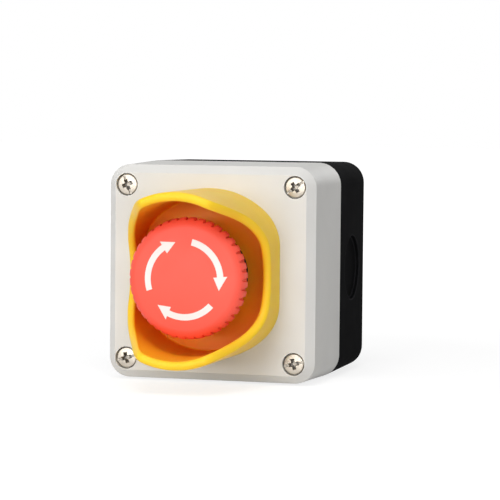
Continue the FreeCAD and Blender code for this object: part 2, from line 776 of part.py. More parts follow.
def contact_block(name, turn, blade_depth):
    """One contact block beside the middle plane. Both blocks differ only in where the blades lie."""
    seat = f"{FRONT} + {BLOCK_FRONT}"
    blade_rear = f"-{blade_depth} - blade_thickness"
    recess_start = "cavity_half_height + web"
    inside_width = "housing_width - block_wall"

    housing = new_body(f"{name}_housing", seat, turn)
    case = sketch_on(housing, "XY_Plane")
    rectangle(case, "block_gap", BLOCK_SIDE, "-block_half_height", "block_half_height")
    pad(housing, case, "block_depth", backwards=True)
    cavity = sketch_on(housing, "YZ_Plane", BLOCK_SIDE)
    rectangle(cavity, "-cavity_half_height", "cavity_half_height",
              "-block_depth + block_back_wall", "-block_wall")
    pocket(housing, cavity, inside_width)
    slots = sketch_on(housing, "YZ_Plane", BLOCK_SIDE)
    rectangle(slots, f"-({recess_start})", recess_start, blade_rear, f"-{blade_depth}")
    pocket(housing, slots, inside_width)
    for side in (-1, 1):
        recess = sketch_on(housing, "YZ_Plane", BLOCK_SIDE)
        rectangle(recess, *sorted([f"{side}*({recess_start})", f"{side}*block_half_height"], key=amount),
                  "-block_depth", f"-{blade_depth}")
        pocket(housing, recess, inside_width)
    plunger_hole = sketch_on(housing, "XY_Plane")
    square(plunger_hole, "(plunger_half_side + running_clearance)", PLUNGER_X)
    pocket(housing, plunger_hole, "block_wall")
    pilots = sketch_on(housing, "XY_Plane", f"-{blade_depth}")
    for side in (-1, 1):
        circle(pilots, "terminal_screw_radius", PLUNGER_X, f"{side}*{TERMINAL_Y}")
    pocket(housing, pilots, "terminal_screw_length", along=True)

    lid = new_body(f"{name}_cover", seat, turn)
    side_face = sketch_on(lid, "YZ_Plane", BLOCK_SIDE)
    rectangle(side_face, "-block_half_height", "block_half_height", "-block_depth", "0")
    pad(lid, side_face, "block_lid")

    terminals = new_body(f"{name}_terminals", seat, turn)
    blades = sketch_on(terminals, "XY_Plane", f"-{blade_depth}")
    for side in (-1, 1):
        rectangle(blades, f"{PLUNGER_X} - blade_half_width", f"{PLUNGER_X} + blade_half_width",
                  *sorted([f"{side}*blade_tip", f"{side}*blade_end"], key=amount))
        circle(blades, "terminal_screw_radius", PLUNGER_X, f"{side}*{TERMINAL_Y}")
    pad(terminals, blades, "blade_thickness", backwards=True)

    screws = new_body(f"{name}_terminal_screws", seat, turn)
    shanks = sketch_on(screws, "XY_Plane", blade_rear)
    heads = sketch_on(screws, "XY_Plane", blade_rear)
    for side in (-1, 1):
        circle(shanks, "terminal_screw_radius", PLUNGER_X, f"{side}*{TERMINAL_Y}")
        circle(heads, "terminal_head_radius", PLUNGER_X, f"{side}*{TERMINAL_Y}")
    pad(screws, shanks, "blade_thickness + terminal_screw_length")
    pad(screws, heads, "terminal_head_height", backwards=True)

    plunger = new_body(f"{name}_plunger", seat, turn)
    rod = sketch_on(plunger, "XY_Plane", BRIDGE_FRONT)
    square(rod, "plunger_half_side", PLUNGER_X)
    pad(plunger, rod, f"travel + push_clearance - contact_gap - {BRIDGE_FRONT}")
    neck = sketch_on(plunger, "XY_Plane", BRIDGE_FRONT)
    square(neck, "plunger_neck_half_side", PLUNGER_X)
    pad(plunger, neck, "plunger_neck_length", backwards=True)

    bridge = new_body(f"{name}_bridge", seat, turn)
    strip = sketch_on(bridge, "XY_Plane", BRIDGE_FRONT)
    rectangle(strip, f"{PLUNGER_X} - bridge_half_width", f"{PLUNGER_X} + bridge_half_width",
              "-bridge_half_length", "bridge_half_length")
    square(strip, "plunger_neck_half_side", PLUNGER_X)
    pad(bridge, strip, "bridge_thickness", backwards=True)

    spring_room = f"({BRIDGE_FRONT} - bridge_thickness + block_depth - block_back_wall)"
    coil(f"{name}_spring", f"{seat} - block_depth + block_back_wall", "contact_spring_radius", "contact_wire",
         "contact_turns", spring_room, turn, PLUNGER_X)


# Assembly

rear_base()
front_cover()
cover_gasket()
cover_screws()
threaded_inserts()
guard_shroud()
ring("guard_seal", FRONT, "guard_seal_radius", "mount_hole_radius", "guard_seal_depth")
operator_body()
ring("bezel_seal", f"{FRONT} + guard_floor", "bezel_radius", "mount_hole_radius", "bezel_seal_thickness")
ring("lock_washer", f"{FRONT} - cover_face - washer_thickness", "washer_radius", "mount_hole_radius",
     "washer_thickness")
mounting_nut()
latch_spring()
ring("stem_seal", f"{FRONT} + {COLLAR_FRONT} - stem_seal_depth", "stem_seal_radius", STEM_BORE,
     "stem_seal_depth")
ring("spring_retainer", f"{FRONT} + {RETAINER_REAR}", "chamber_radius", "retainer_bore", "retainer_thickness")
plunger_stem()
ring("push_plate", f"{FRONT} + {PUSH_PLATE_REAR}", "push_plate_radius", "tail_radius", "push_plate_thickness")
stem_circlip()
coil("return_spring", f"{FRONT} + {RETAINER_FRONT}", "(tail_radius + chamber_radius)/2", "return_wire",
     "return_turns", f"({SHOULDER_REAR} - {RETAINER_FRONT})")
mushroom_cap()
coil("torsion_spring", f"{FRONT} + {CAP_INSIDE} - {TWIST_LENGTH}", "(hub_radius + clip_play + twist_wire/2)",
     "twist_wire", "twist_turns", TWIST_LENGTH)
contact_carrier()
lever_pin()
carrier_lever()
contact_block("nc", 180, "blade_depth")
contact_block("no", 0,
              "(blade_depth + blade_thickness + contact_gap + bridge_thickness + travel + contact_gap)")
doc.recompute()

for item in doc.Objects:
    if "Invalid" in item.State or "Error" in item.State:
        raise RuntimeError(f"{item.Label} failed to build")
for piece in pieces:
    if piece.Shape.isNull() or not piece.Shape.isValid():
        raise RuntimeError(f"{piece.Label} is not a valid solid")

os.makedirs("parts", exist_ok=True)
for piece in pieces:
    piece.Shape.exportStep(f"parts/{piece.Label}.step")
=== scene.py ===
import json
import math

import bmesh
import bpy
from mathutils import Matrix, Vector


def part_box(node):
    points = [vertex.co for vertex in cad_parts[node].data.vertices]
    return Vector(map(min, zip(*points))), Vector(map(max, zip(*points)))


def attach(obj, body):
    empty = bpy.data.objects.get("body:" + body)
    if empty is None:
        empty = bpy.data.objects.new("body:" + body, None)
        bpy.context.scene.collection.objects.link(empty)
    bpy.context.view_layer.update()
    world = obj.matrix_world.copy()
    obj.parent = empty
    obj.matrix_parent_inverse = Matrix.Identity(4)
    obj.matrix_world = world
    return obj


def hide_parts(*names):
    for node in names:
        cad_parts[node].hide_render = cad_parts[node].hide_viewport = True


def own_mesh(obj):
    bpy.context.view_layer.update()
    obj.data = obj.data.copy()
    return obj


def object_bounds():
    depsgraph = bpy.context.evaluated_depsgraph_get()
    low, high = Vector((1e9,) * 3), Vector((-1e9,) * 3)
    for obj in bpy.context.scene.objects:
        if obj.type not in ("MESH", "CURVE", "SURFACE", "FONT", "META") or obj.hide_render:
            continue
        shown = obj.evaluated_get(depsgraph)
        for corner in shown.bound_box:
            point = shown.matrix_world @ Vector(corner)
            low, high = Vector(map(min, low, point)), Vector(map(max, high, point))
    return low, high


# Emergency stop button box: the looks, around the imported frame. Metres, +Z up, the button faces -Y.

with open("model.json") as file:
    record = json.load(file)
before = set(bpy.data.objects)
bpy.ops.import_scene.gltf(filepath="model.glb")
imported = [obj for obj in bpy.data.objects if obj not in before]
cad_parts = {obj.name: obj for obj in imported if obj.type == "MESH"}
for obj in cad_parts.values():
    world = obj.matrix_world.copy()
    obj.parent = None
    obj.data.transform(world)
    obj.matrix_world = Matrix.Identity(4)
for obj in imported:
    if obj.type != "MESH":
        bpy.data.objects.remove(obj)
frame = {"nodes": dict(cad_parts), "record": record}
cad_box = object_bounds()
nodes = frame["nodes"]
scene = bpy.context.scene
MM = 0.001
WHITE = (1, 1, 1, 1)

# Camera
VIEW_AZIMUTH = math.radians(16.45)
VIEW_ELEVATION = math.radians(3.57)
VIEW_ROLL = math.radians(0.50)
VIEW_DISTANCE = 838.1 * MM
VIEW_TARGET = Vector((0, -30.83, 0)) * MM
VIEW_SIDESTEP = 3.07 * MM
VIEW_RISE = 5.85 * MM
VIEW_LENS = 171.95
VIEW_SENSOR = 36.0


def view_direction(azimuth, elevation):
    """The direction from the object towards a viewer."""
    across = math.cos(elevation)
    return Vector((math.sin(azimuth) * across, -math.cos(azimuth) * across, math.sin(elevation)))


def make_camera():
    """A long lens at the photograph's angle."""
    back = view_direction(VIEW_AZIMUTH, VIEW_ELEVATION)
    right = Vector((math.cos(VIEW_AZIMUTH), math.sin(VIEW_AZIMUTH), 0))
    up = back.cross(right)
    rolled_right = right * math.cos(VIEW_ROLL) + up * math.sin(VIEW_ROLL)
    rolled_up = up * math.cos(VIEW_ROLL) - right * math.sin(VIEW_ROLL)
    place = VIEW_TARGET + back * VIEW_DISTANCE + right * VIEW_SIDESTEP + up * VIEW_RISE
    camera = bpy.data.objects.new("camera", bpy.data.cameras.new("camera"))
    camera.data.lens = VIEW_LENS
    camera.data.sensor_width = VIEW_SENSOR
    turn = Matrix((rolled_right, rolled_up, back)).transposed().to_4x4()
    camera.matrix_world = Matrix.Translation(place) @ turn
    scene.collection.objects.link(camera)
    scene.camera = camera


# Shader helpers, with the numbers of the mix node's sockets for colours
MIX_SHARE = 0
MIX_FIRST = 6
MIX_SECOND = 7
MIX_RESULT = 2


def paint(red, green, blue):
    """A colour by its screen values from 0 to 255, as linear light."""
    def linear(value):
        share = value / 255
        return share / 12.92 if share <= 0.04045 else ((share + 0.055) / 1.055) ** 2.4
    return (linear(red), linear(green), linear(blue), 1.0)


def scaled(colour, factor):
    """A colour made lighter or darker."""
    return tuple(min(part * factor, 1.0) for part in colour[:3]) + (1.0,)


def feed(tree, socket, value):
    """Sets a socket, or links it where the value is another node's output."""
    if isinstance(value, bpy.types.NodeSocket):
        tree.links.new(value, socket)
    else:
        socket.default_value = value


def add(tree, kind, settings=None, **inputs):
    """A shader node. An underscore in an input's name stands for a space."""
    node = tree.nodes.new(kind)
    for key, value in (settings or {}).items():
        setattr(node, key, value)
    for key, value in inputs.items():
        feed(tree, node.inputs[key.replace("_", " ")], value)
    return node


def new_material(name):
    """An empty node material and its main shader."""
    material = bpy.data.materials.new(name)
    material.use_nodes = True
    return material, material.node_tree, material.node_tree.nodes["Principled BSDF"]


def object_place(tree):
    """A point's place in the part's own frame."""
    return add(tree, "ShaderNodeTexCoord").outputs["Object"]


def noise(tree, place, size, detail):
    """Soft noise whose lumps are about that large."""
    return add(tree, "ShaderNodeTexNoise", Vector=place, Scale=1 / size, Detail=detail).outputs["Fac"]


def spread(tree, value, low, high, start=0.25, end=0.75):
    """Maps a value from start..end to low..high."""
    node = add(tree, "ShaderNodeMapRange", Value=value, From_Min=start, From_Max=end,
               To_Min=low, To_Max=high)
    return node.outputs["Result"]


def blend_colours(tree, share, first, second):
    """A mix of two colours."""
    node = add(tree, "ShaderNodeMix", {"data_type": "RGBA"})
    feed(tree, node.inputs[MIX_SHARE], share)
    feed(tree, node.inputs[MIX_FIRST], first)
    feed(tree, node.inputs[MIX_SECOND], second)
    return node.outputs[MIX_RESULT]


def combined(tree, operation, first, second):
    """Two values put together by an operation of the math node."""
    node = add(tree, "ShaderNodeMath", {"operation": operation})
    feed(tree, node.inputs[0], first)
    feed(tree, node.inputs[1], second)
    return node.outputs[0]


def patchy(tree, colour, pattern, dark, light):
    """A colour that goes darker and lighter with a pattern."""
    return blend_colours(tree, spread(tree, pattern, 0, 1), scaled(colour, dark), scaled(colour, light))


def hollow_shade(tree, reach, start, end):
    """1 where a piece's own walls stand round a place, and 0 in the open: the mask for painted shade in
    hollows.
    """
    node = add(tree, "ShaderNodeAmbientOcclusion", {"samples": 8, "only_local": True}, Distance=reach)
    return spread(tree, node.outputs["AO"], 1, 0, start, end)


def bump(tree, shader, height, depth):
    """Relief of that depth on a shader."""
    node = add(tree, "ShaderNodeBump", Height=height, Distance=depth, Strength=1.0)
    tree.links.new(node.outputs["Normal"], shader.inputs["Normal"])


# Moulded plastic
GRAIN_SIZE = 0.35 * MM
GRAIN_DEPTH = 0.02 * MM
CLOUD_SIZE = 22 * MM
CLOUD_TONES = (0.96, 1.04)
HANDLED_SIZE = 7 * MM
HANDLED_ROUGHNESS = 0.05
# Edges go lighter, partly as rubbed wear and partly as a painted highlight
EDGE_REACH = 1.0 * MM
EDGE_TURN = (0.80, 0.99)
EDGE_LEAST = 0.3
# Inside the guard's cup the colour goes to a deeper orange where its own walls close round: painted shade
CUP_SHADE_REACH = 60 * MM
CUP_SHADE_OPENNESS = (0.35, 0.92)
LIGHT_SHARE = 0.4
LIGHT_REACH = 6.0 * MM
LIGHT_SPREAD = (1.0, 0.45, 0.08)


def worn_and_glinting_edges(tree):
    """1 along sharp edges and 0 on open stretches: the mask for rubbed wear and for a painted highlight on
    edges.
    """
    rounded = add(tree, "ShaderNodeBevel", {"samples": 6}, Radius=EDGE_REACH).outputs["Normal"]
    plain = add(tree, "ShaderNodeNewGeometry").outputs["Normal"]
    turn = add(tree, "ShaderNodeVectorMath", {"operation": "DOT_PRODUCT"})
    feed(tree, turn.inputs[0], rounded)
    feed(tree, turn.inputs[1], plain)
    return spread(tree, turn.outputs["Value"], 1.0, 0.0, *EDGE_TURN)


def moulded_plastic(name, colour, roughness, edge_wear_and_glint_tone=1.12, shine=0.3, painted_cup_shade=None):
    """Injection-moulded plastic: eroded grain, faint flow clouds, handled patches, and edges made lighter as
    rubbed wear and as a painted highlight. A clear plastic lets some light through, and goes to a deeper
    colour inside a cup, which is painted shade."""
    material, tree, shader = new_material(name)
    shader.inputs["Specular IOR Level"].default_value = shine
    place = object_place(tree)
    clouds = noise(tree, place, CLOUD_SIZE, 3.0)
    handled = noise(tree, place, HANDLED_SIZE, 4.0)
    tone = patchy(tree, colour, clouds, *CLOUD_TONES)
    # Painted shade: the tone goes deeper where the piece's own walls close round it
    if painted_cup_shade:
        tone = blend_colours(tree, hollow_shade(tree, CUP_SHADE_REACH, *CUP_SHADE_OPENNESS), tone, painted_cup_shade)
        shader.inputs["Subsurface Weight"].default_value = LIGHT_SHARE
        shader.inputs["Subsurface Scale"].default_value = LIGHT_REACH
        shader.inputs["Subsurface Radius"].default_value = LIGHT_SPREAD
    # Lighter edges: rubbed wear, and partly a painted highlight
    edge_wear_and_glint_mask = combined(tree, "MULTIPLY", worn_and_glinting_edges(tree), spread(tree, handled, EDGE_LEAST, 1.0))
    shaded = blend_colours(tree, edge_wear_and_glint_mask, tone, scaled(colour, edge_wear_and_glint_tone))
    smooth = roughness - HANDLED_ROUGHNESS
    rough = roughness + HANDLED_ROUGHNESS
    feed(tree, shader.inputs["Base Color"], shaded)
    feed(tree, shader.inputs["Roughness"], spread(tree, handled, smooth, rough))
    bump(tree, shader, noise(tree, place, GRAIN_SIZE, 2.0), GRAIN_DEPTH)
    return material


# Plated metal
PATCH_SIZE = 2.5 * MM
PATCH_TONES = (0.88, 1.08)
PATCH_SMOOTHER = 0.06
PATCH_ROUGHER = 0.08
MARK_SIZE = 0.25 * MM
MARK_DEPTH = 0.008 * MM
# Recesses go darker and less metallic where the piece's own walls close round: painted shade
RECESS_SHADE_REACH = 1.2 * MM
RECESS_SHADE_OPENNESS = (0.5, 1.0)
RECESS_SHADE_TONE = 0.3


def plated_steel(name, colour, roughness):
    """Bright plated metal with fine turning marks and dulled patches. Its recesses are darker and less
    metallic, which is painted shade.
    """
    material, tree, shader = new_material(name)
    place = object_place(tree)
    patches = noise(tree, place, PATCH_SIZE, 4.0)
    marks = noise(tree, place, MARK_SIZE, 3.0)
    tone = patchy(tree, colour, patches, *PATCH_TONES)
    # Painted shade in the recesses
    recess_shade = hollow_shade(tree, RECESS_SHADE_REACH, *RECESS_SHADE_OPENNESS)
    smooth = roughness - PATCH_SMOOTHER
    rough = roughness + PATCH_ROUGHER
    feed(tree, shader.inputs["Base Color"], blend_colours(tree, recess_shade, tone, scaled(colour, RECESS_SHADE_TONE)))
    feed(tree, shader.inputs["Metallic"], spread(tree, recess_shade, 1, 0, 0, 1))
    feed(tree, shader.inputs["Roughness"], spread(tree, patches, smooth, rough))
    bump(tree, shader, marks, MARK_DEPTH)
    return material


# Rubber
DUST_SIZE = 3 * MM
DUST_TONE = 2.2
DUST_MOST = 0.6
RUBBER_ROUGHNESS = (0.65, 0.85)
RUBBER_GRAIN_SIZE = 0.5 * MM
RUBBER_GRAIN_DEPTH = 0.03 * MM


def soft_rubber(name, colour):
    """Dull elastomer with a bloom of paler dust."""
    material, tree, shader = new_material(name)
    place = object_place(tree)
    dust = noise(tree, place, DUST_SIZE, 5.0)
    tone = blend_colours(tree, spread(tree, dust, 0, DUST_MOST), colour, scaled(colour, DUST_TONE))
    feed(tree, shader.inputs["Base Color"], tone)
    feed(tree, shader.inputs["Roughness"], spread(tree, dust, *RUBBER_ROUGHNESS))
    bump(tree, shader, noise(tree, place, RUBBER_GRAIN_SIZE, 3.0), RUBBER_GRAIN_DEPTH)
    return material


# The record's material slots
MATERIALS = {
    "cover_grey": moulded_plastic("cover_grey", paint(215, 214, 211), 0.5, shine=0.06),
    # The black base's edges go far lighter: a painted highlight on its rims, with a little wear
    "base_black": moulded_plastic("base_black", paint(15, 15, 16), 0.9, edge_wear_and_glint_tone=9.0, shine=0.01),
    # The guard's deeper orange inside its cup is painted shade
    "guard_yellow": moulded_plastic("guard_yellow", paint(255, 204, 46), 0.4, shine=0.2,
                                    painted_cup_shade=paint(255, 128, 11)),
    "cap_red": moulded_plastic("cap_red", paint(246, 86, 67), 0.5, shine=0.45),
    "arrow_white": moulded_plastic("arrow_white", paint(238, 232, 228), 0.45, edge_wear_and_glint_tone=0.95),
    "screw_steel": plated_steel("screw_steel", paint(190, 182, 170), 0.42),
    "seal_rubber": soft_rubber("seal_rubber", paint(28, 28, 28)),
    "brass": plated_steel("brass", paint(214, 178, 106), 0.28),
    "operator_black": moulded_plastic("operator_black", paint(30, 30, 32), 0.40, edge_wear_and_glint_tone=1.6),
    "stem_grey": moulded_plastic("stem_grey", paint(150, 150, 152), 0.40),
    "carrier_grey": moulded_plastic("carrier_grey", paint(92, 92, 96), 0.45),
    "lever_yellow": moulded_plastic("lever_yellow", paint(232, 180, 60), 0.42),
    "spring_steel": plated_steel("spring_steel", paint(190, 190, 190), 0.30),
    "block_red": moulded_plastic("block_red", paint(190, 54, 46), 0.45),
    "block_green": moulded_plastic("block_green", paint(48, 140, 84), 0.45),
    "plunger_white": moulded_plastic("plunger_white", paint(226, 226, 220), 0.40),
    "contact_silver": plated_steel("contact_silver", paint(226, 226, 222), 0.22),
}


def dress(piece, slot):
    """Gives a piece the material of one of the record's slots."""
    piece.data.materials.clear()
    piece.data.materials.append(MATERIALS[slot])


def dress_nodes():
    """Every CAD piece takes its slot's material."""
    for entry in frame["record"]["subparts"]:
        dress(nodes[entry["node"]], entry["material_slot"])


# Mesh helpers
WELD = 0.001 * MM
FLAT = math.radians(0.5)
SHARP = math.radians(30)


def new_object(name, mesh):
    """An object in the scene from finished mesh data."""
    data = bpy.data.meshes.new(name)
    mesh.to_mesh(data)
    mesh.free()
    made = bpy.data.objects.new(name, data)
    scene.collection.objects.link(made)
    return made


def new_piece(name, mesh, slot, body):
    """A piece of the part, riding on a body, smooth apart from its sharp edges."""
    for face in mesh.faces:
        face.smooth = True
    for edge in mesh.edges:
        edge.smooth = len(edge.link_faces) == 2 and edge.calc_face_angle() < SHARP
    piece = new_object(name, mesh)
    dress(piece, slot)
    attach(piece, body)
    return piece


def even_normals(piece):
    """Shades a piece's large faces flat and leaves the turn to its narrow rounds."""
    piece.modifiers.new("even_normals", "WEIGHTED_NORMAL").keep_sharp = True


def softened(name, node, rounds, slot, body):
    """A CAD piece with its edges rounded. Each round is a test on an edge's middle, a radius and a number
    of steps."""
    mesh = bmesh.new()
    mesh.from_mesh(nodes[node].data)
    bmesh.ops.remove_doubles(mesh, verts=mesh.verts, dist=WELD)
    bmesh.ops.dissolve_limit(mesh, angle_limit=FLAT, verts=mesh.verts, edges=mesh.edges)
    for chosen, radius, steps in rounds:
        edges = []
        for edge in mesh.edges:
            middle = (edge.verts[0].co + edge.verts[1].co) / 2
            if len(edge.link_faces) == 2 and edge.calc_face_angle() > SHARP and chosen(middle):
                edges.append(edge)
        bmesh.ops.bevel(mesh, geom=edges, offset=radius, offset_type="OFFSET", segments=steps,
                        profile=0.5, affect="EDGES", clamp_overlap=True)
    piece = new_piece(name, mesh, slot, body)
    even_normals(piece)
    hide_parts(node)


def anywhere(middle):
    """A test that takes every edge."""
    return True


# Casing and cap: the depth of the bands that hold their outer edges, and the edge rounds
FACE_BAND = 4 * MM
SIDE_BAND = 4 * MM
BACK_BAND = 0.5 * MM
OUTER_ROUND = 0.8 * MM
OUTER_STEPS = 4
COVER_ROUND = 0.25 * MM
BASE_ROUND = 0.3 * MM
CAP_ROUND = 0.18 * MM
SMALL_STEPS = 2


def make_casing():
    """The grey cover and the black base, with moulded edges."""
    cover_low, cover_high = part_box("front_cover")
    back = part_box("rear_base")[1].y
    side = cover_high.x - SIDE_BAND

    def front_bevel(middle):
        return middle.y < cover_low.y + FACE_BAND and max(abs(middle.x), abs(middle.z)) > side

    def back_edge(middle):
        return middle.y > back - BACK_BAND and max(abs(middle.x), abs(middle.z)) > side
    cover_rounds = [(front_bevel, OUTER_ROUND, OUTER_STEPS), (anywhere, COVER_ROUND, SMALL_STEPS)]
    base_rounds = [(back_edge, OUTER_ROUND, OUTER_STEPS), (anywhere, BASE_ROUND, SMALL_STEPS)]
    softened("cover_moulding", "front_cover", cover_rounds, "cover_grey", "enclosure")
    softened("base_moulding", "rear_base", base_rounds, "base_black", "enclosure")


def make_cap():
    """The red mushroom head with softened teeth."""
    softened("cap_moulding", "mushroom_cap", [(anywhere, CAP_ROUND, SMALL_STEPS)], "cap_red", "cap")


# Yellow guard: a flat-sided cup on the cover, whose rim dips into a finger scoop left and right
GUARD_RADIUS = 28.8 * MM
GUARD_HALF_FLAT = 24.6 * MM
GUARD_KNEE = 16.0 * MM
GUARD_WALL = 3.0 * MM
GUARD_FLOOR = 3.0 * MM
GUARD_HEIGHT = 39.0 * MM
GUARD_HOLE = 11.15 * MM
GUARD_SEAL_RADIUS = 14.0 * MM
GUARD_SEAL_DEPTH = 1.0 * MM
RIM_ROUND = 1.4 * MM
FOOT_ROUND = 0.6 * MM
ROUND_STEPS = 6
FLAT_STEPS = 8
TURN_STEP = math.radians(2.5)
SCOOP_LOW = 11.2 * MM
SCOOP_SLOPE = math.radians(38)
SCOOP_BOTTOM_RADIUS = 25.6 * MM
SCOOP_SHOULDER_RADIUS = 42.9 * MM


def rim_height(place):
    """The guard's height over the cover at a place on its wall: scoop bottom, flank, shoulder or top."""
    reach = abs(place.z) * GUARD_HALF_FLAT / max(abs(place.x), WELD)
    bottom_half = SCOOP_BOTTOM_RADIUS * math.sin(SCOOP_SLOPE)
    flank_low = SCOOP_LOW + SCOOP_BOTTOM_RADIUS * (1 - math.cos(SCOOP_SLOPE))
    flank_high = GUARD_HEIGHT - SCOOP_SHOULDER_RADIUS * (1 - math.cos(SCOOP_SLOPE))
    flank_end = bottom_half + (flank_high - flank_low) / math.tan(SCOOP_SLOPE)
    mouth = flank_end + SCOOP_SHOULDER_RADIUS * math.sin(SCOOP_SLOPE)
    if reach < bottom_half:
        return SCOOP_LOW + SCOOP_BOTTOM_RADIUS - math.sqrt(SCOOP_BOTTOM_RADIUS ** 2 - reach ** 2)
    if reach < flank_end:
        return flank_low + (reach - bottom_half) * math.tan(SCOOP_SLOPE)
    left = max(mouth - reach, 0)
    return GUARD_HEIGHT - SCOOP_SHOULDER_RADIUS + math.sqrt(SCOOP_SHOULDER_RADIUS ** 2 - left ** 2)


def guard_stations():
    """Places once round the guard's outer wall: x, z and the angle of the wall's outward direction."""
    knee_x = GUARD_HALF_FLAT - GUARD_KNEE
    knee_z = math.sqrt((GUARD_RADIUS - GUARD_KNEE) ** 2 - knee_x ** 2)
    knee_turn = math.atan2(knee_z, knee_x)
    knee_steps = round(knee_turn / TURN_STEP)
    top_steps = round((math.pi / 2 - knee_turn) / TURN_STEP)
    quarter = [(GUARD_HALF_FLAT, knee_z * k / FLAT_STEPS, 0) for k in range(FLAT_STEPS)]
    for k in range(knee_steps):
        turn = knee_turn * k / knee_steps
        quarter.append((knee_x + GUARD_KNEE * math.cos(turn), knee_z + GUARD_KNEE * math.sin(turn), turn))
    for k in range(top_steps + 1):
        turn = knee_turn + (math.pi / 2 - knee_turn) * k / top_steps
        quarter.append((GUARD_RADIUS * math.cos(turn), GUARD_RADIUS * math.sin(turn), turn))
    half = quarter + [(-x, z, math.pi - turn) for x, z, turn in reversed(quarter[:-1])]
    return half + [(x, -z, -turn) for x, z, turn in reversed(half[1:-1])]


def guard_slice(x, z, turn, foot):
    """One slice through the wall and the floor, from the outer foot over the rim and under the floor."""
    inward = -Vector((math.cos(turn), 0, math.sin(turn)))
    round_about = Vector((x, 0, z)).normalized()

    def in_wall(depth, height):
        return Vector((x, foot - height, z)) + inward * depth

    def on_rim(depth, drop):
        return in_wall(depth, rim_height(in_wall(depth, 0)) - drop)

    def on_circle(radius, height):
        return Vector((0, foot - height, 0)) + round_about * radius
    angles = [math.pi / 2 * k / ROUND_STEPS for k in range(ROUND_STEPS + 1)]
    curve = [(1 - math.cos(angle), 1 - math.sin(angle)) for angle in angles]
    points = [in_wall(0, 0)]
    points += [on_rim(RIM_ROUND * across, RIM_ROUND * down) for across, down in curve]
    points += [on_rim(GUARD_WALL - RIM_ROUND * across, RIM_ROUND * down)
               for across, down in reversed(curve)]
    points += [in_wall(GUARD_WALL + FOOT_ROUND * across, GUARD_FLOOR + FOOT_ROUND * down)
               for across, down in curve]
    points += [on_circle(GUARD_HOLE, GUARD_FLOOR), on_circle(GUARD_HOLE, GUARD_SEAL_DEPTH)]
    points += [on_circle(GUARD_SEAL_RADIUS, GUARD_SEAL_DEPTH), on_circle(GUARD_SEAL_RADIUS, 0)]
    return points


def make_guard():
    """The yellow guard with a round rim."""
    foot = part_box("guard_shroud")[1].y
    mesh = bmesh.new()
    slices = []
    for x, z, turn in guard_stations():
        slices.append([mesh.verts.new(point) for point in guard_slice(x, z, turn, foot)])
    for near, far in zip(slices, slices[1:] + slices[:1]):
        for first, second in zip(range(len(near)), [*range(1, len(near)), 0]):
            mesh.faces.new((near[first], near[second], far[second], far[first]))
    bmesh.ops.recalc_face_normals(mesh, faces=mesh.faces)
    piece = new_piece("guard_moulding", mesh, "guard_yellow", "enclosure")
    even_normals(piece)
    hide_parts("guard_shroud")


# Twist arrows, by their places on the cap as the user sees it
ARROW_RADIUS = 12.4 * MM
ARROW_STROKE = 2.1 * MM
ARROW_HEAD_WIDTH = 4.6 * MM
ARROW_HEAD_LENGTH = 4.5 * MM
ARROW_TAIL = math.radians(198)
ARROW_SWEEP = math.radians(94)
ARROW_COUNT = 3
ARROW_STEPS = 14
ARROW_PROUD = 0.06 * MM
ARROW_SUNK = 0.3 * MM
DOME_RADIUS = 105 * MM


def on_dome(radius, angle):
    """A point just proud of the cap's dome."""
    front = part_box("mushroom_cap")[0].y
    depth = DOME_RADIUS - math.sqrt(DOME_RADIUS ** 2 - radius ** 2)
    return Vector((radius * math.cos(angle), front + depth - ARROW_PROUD, radius * math.sin(angle)))


def make_arrows():
    """Three white arrows inlaid in the dome, pointing the way the cap is turned."""
    mesh = bmesh.new()
    inner = ARROW_RADIUS - ARROW_STROKE / 2
    outer = ARROW_RADIUS + ARROW_STROKE / 2
    body_sweep = ARROW_SWEEP - ARROW_HEAD_LENGTH / ARROW_RADIUS
    for number in range(ARROW_COUNT):
        tail = ARROW_TAIL - number * 2 * math.pi / ARROW_COUNT
        rails = []
        for step in range(ARROW_STEPS + 1):
            angle = tail - body_sweep * step / ARROW_STEPS
            rails.append([mesh.verts.new(on_dome(radius, angle)) for radius in (inner, outer)])
        for near, far in zip(rails, rails[1:]):
            mesh.faces.new((near[0], near[1], far[1], far[0]))
        neck = tail - body_sweep
        barbs = [ARROW_RADIUS + side * ARROW_HEAD_WIDTH / 2 for side in (-1, 1)]
        inner_barb, outer_barb = [mesh.verts.new(on_dome(radius, neck)) for radius in barbs]
        tip = mesh.verts.new(on_dome(ARROW_RADIUS, tail - ARROW_SWEEP))
        mesh.faces.new((inner_barb, rails[-1][0], rails[-1][1], outer_barb, tip))
    bmesh.ops.recalc_face_normals(mesh, faces=mesh.faces)
    grown = bmesh.ops.extrude_face_region(mesh, geom=mesh.faces[:])
    sunk = [item for item in grown["geom"] if isinstance(item, bmesh.types.BMVert)]
    bmesh.ops.translate(mesh, verts=sunk, vec=Vector((0, ARROW_SUNK, 0)))
    bmesh.ops.recalc_face_normals(mesh, faces=mesh.faces)
    new_piece("twist_arrows", mesh, "arrow_white", "cap")


# Cover screws, with the angle of each one's slot in degrees by the side and the level of its corner
SCREW_HEAD_RADIUS = 3.55 * MM
SCREW_HEAD_HEIGHT = 2.4 * MM
SCREW_CROWN = 0.35 * MM
SCREW_EDGE = 0.5 * MM
SCREW_SHANK_RADIUS = 1.95 * MM
SCREW_SIDES = 48
SCREW_CURVE_STEPS = 4
SLOT_LENGTH = 3 * SCREW_HEAD_RADIUS
SLOT_WIDTH = 0.8 * MM
SLOT_DEPTH = 0.6 * MM
SLOT_TAPER = 1.0
CROSS_LENGTH = 5.2 * MM
CROSS_WIDTH = 1.8 * MM
CROSS_DEPTH = 1.7 * MM
CROSS_TAPER = 0.5
SLOT_ANGLES = {(-1, 1): 112, (1, 1): 36, (-1, -1): 16, (1, -1): 14}


